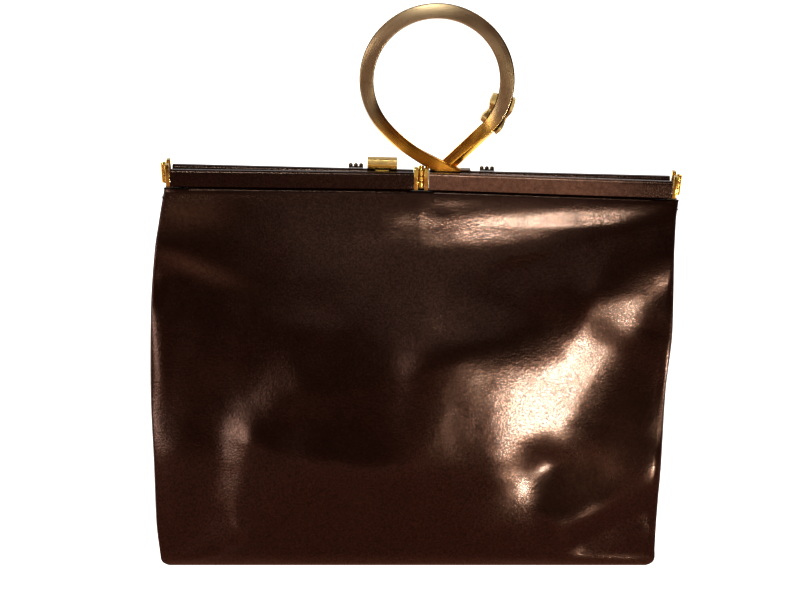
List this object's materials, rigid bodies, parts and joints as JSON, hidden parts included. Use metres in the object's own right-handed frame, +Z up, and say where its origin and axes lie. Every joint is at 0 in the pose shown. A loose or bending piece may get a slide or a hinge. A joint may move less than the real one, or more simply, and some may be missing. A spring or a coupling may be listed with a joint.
{
  "type": "leather frame handbag with ring handle",
  "caption": "Soft brown leather handbag on a slim hinged frame of leather-covered bars, with a brass ring handle whose arms cross at its foot and a lever clasp.",
  "frame": {"origin": "middle of the flat underside of the base", "axes": "+Z up, the front faces -Y, +X to the right as seen from the front"},
  "size_m": [0.3158, 0.0865, 0.3356],
  "materials": {
    "leather": "polished dark brown calf with fine grain",
    "bar_leather": "the same calf drawn tight over the frame bars",
    "brass": "polished gilt brass with light wear",
    "ring_brass": "brushed, slightly tarnished gilt brass",
    "dark_bronze": "dark tarnished bronze"
  },
  "bodies": {
    "bag": {"front_panel": "leather", "back_panel": "leather", "gusset_left": "leather", "gusset_right": "leather", "base_panel": "leather", "bar_front_left": "bar_leather", "bar_front_right": "bar_leather", "bar_back_left": "bar_leather", "bar_back_right": "bar_leather", "hinge_front_leaf_left": "brass", "hinge_front_leaf_right": "brass", "hinge_front_pin": "brass", "hinge_back_leaf_left": "brass", "hinge_back_leaf_right": "brass", "hinge_back_pin": "brass", "hinge_left_leaf_front": "brass", "hinge_left_leaf_back": "brass", "hinge_left_pin": "brass", "hinge_right_leaf_front": "brass", "hinge_right_leaf_back": "brass", "hinge_right_pin": "brass", "handle_ring": "ring_brass", "ring_clip": "brass", "clasp_base": "brass", "clasp_pin": "brass", "clasp_catch": "brass", "rivet_row_left": "dark_bronze", "rivet_row_right": "dark_bronze"},
    "lever": {"clasp_lever": "brass"}
  },
  "joints": [
    {"name": "clasp_lift", "type": "hinge", "parent": "bag", "child": "lever", "pos_m": [-0.01638, 0.0089, 0.24057], "axis": [-0.9997, 0, 0.0244], "range_deg": [0, 80]}
  ]
}
